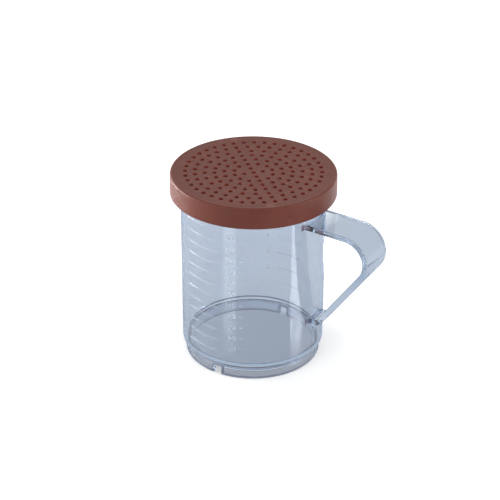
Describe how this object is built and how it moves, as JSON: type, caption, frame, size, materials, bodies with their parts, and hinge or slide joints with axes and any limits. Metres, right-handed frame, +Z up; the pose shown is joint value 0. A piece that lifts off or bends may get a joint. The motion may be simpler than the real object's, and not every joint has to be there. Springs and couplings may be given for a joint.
{
  "type": "handled shaker",
  "caption": "Clear round measuring shaker with a flat strap handle and a push-on lid pierced by rings of holes, for dredging spice, salt, sugar or cheese.",
  "frame": {"origin": "on the cup's axis, in the plane of the foot ring's lower edge, where the shaker stands", "axes": "+Z up along the cup's axis, +X from the axis towards the handle"},
  "size_m": [0.1069, 0.0798, 0.0959],
  "materials": {
    "clear_plastic": "gloss",
    "lid_plastic": "satin"
  },
  "bodies": {
    "cup": {"cup_body": "clear_plastic", "handle": "clear_plastic"},
    "lid": {"shaker_lid": "lid_plastic"}
  },
  "joints": [
    {"name": "lid_lift", "type": "slide", "parent": "cup", "child": "lid", "axis": [0, 0, 1], "range_m": [0, 0.06]}
  ]
}
